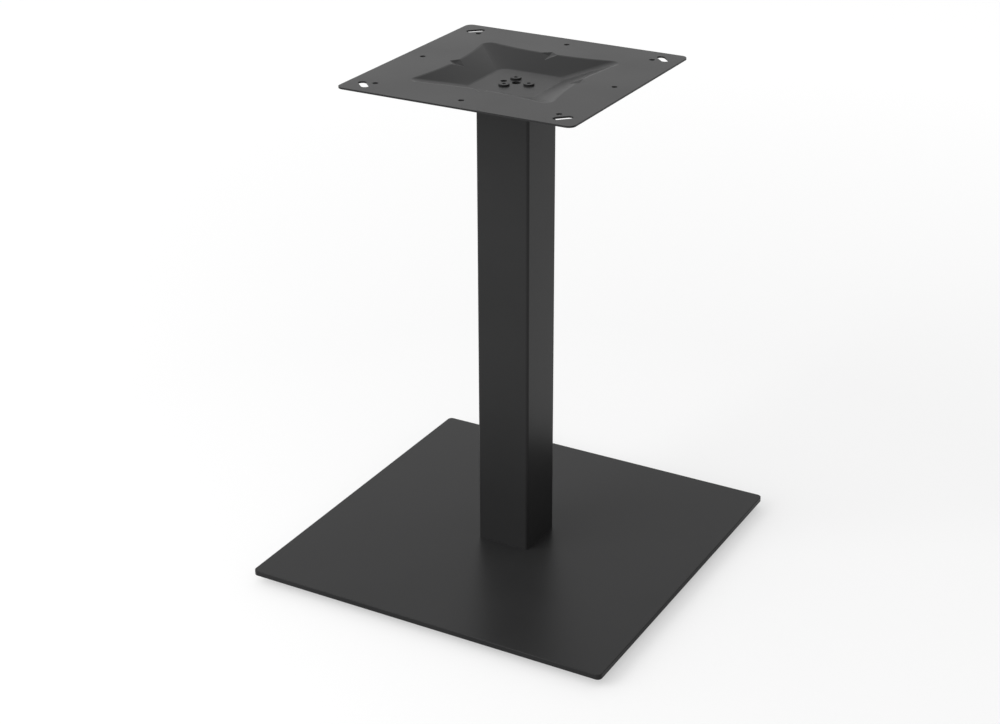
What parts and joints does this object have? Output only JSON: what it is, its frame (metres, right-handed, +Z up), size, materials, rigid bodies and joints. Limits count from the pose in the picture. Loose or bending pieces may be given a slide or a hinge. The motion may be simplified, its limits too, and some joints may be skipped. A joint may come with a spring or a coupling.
{
  "type": "steel table base",
  "caption": "Square pedestal table base: a heavy flat plate on levelling feet, a square tube column and a dished, punched plate that a tabletop is screwed to.",
  "frame": {"origin": "on the floor, under the middle of the column", "axes": "+Z up the column; X and Y along the sides of both square plates; the first screw of each ring is on +X"},
  "size_m": [0.55, 0.55, 0.72],
  "materials": {
    "black_powder_coat": "satin black powder coat with a very fine grain",
    "black_oxide_steel": "satin black oxide",
    "zinc_plated_steel": "bright zinc plate",
    "black_nylon": "moulded, matt"
  },
  "bodies": {
    "stand": {"base_plate": "black_powder_coat", "column_tube": "black_powder_coat", "column_bottom_end_plate": "black_powder_coat", "column_top_end_plate": "black_powder_coat", "top_plate": "black_powder_coat", "top_plate_screws": "black_oxide_steel", "base_plate_screws": "black_oxide_steel", "foot_weld_nuts": "black_powder_coat"},
    "foot_front_left": {"foot_pad_front_left": "black_nylon", "foot_stud_front_left": "zinc_plated_steel"},
    "foot_front_right": {"foot_pad_front_right": "black_nylon", "foot_stud_front_right": "zinc_plated_steel"},
    "foot_back_right": {"foot_pad_back_right": "black_nylon", "foot_stud_back_right": "zinc_plated_steel"},
    "foot_back_left": {"foot_pad_back_left": "black_nylon", "foot_stud_back_left": "zinc_plated_steel"}
  },
  "joints": [
    {"name": "foot_front_left_height", "type": "slide", "parent": "stand", "child": "foot_front_left", "axis": [0, 0, -1], "range_m": [0, 0.006]},
    {"name": "foot_front_right_height", "type": "slide", "parent": "stand", "child": "foot_front_right", "axis": [0, 0, -1], "range_m": [0, 0.006]},
    {"name": "foot_back_right_height", "type": "slide", "parent": "stand", "child": "foot_back_right", "axis": [0, 0, -1], "range_m": [0, 0.006]},
    {"name": "foot_back_left_height", "type": "slide", "parent": "stand", "child": "foot_back_left", "axis": [0, 0, -1], "range_m": [0, 0.006]}
  ]
}
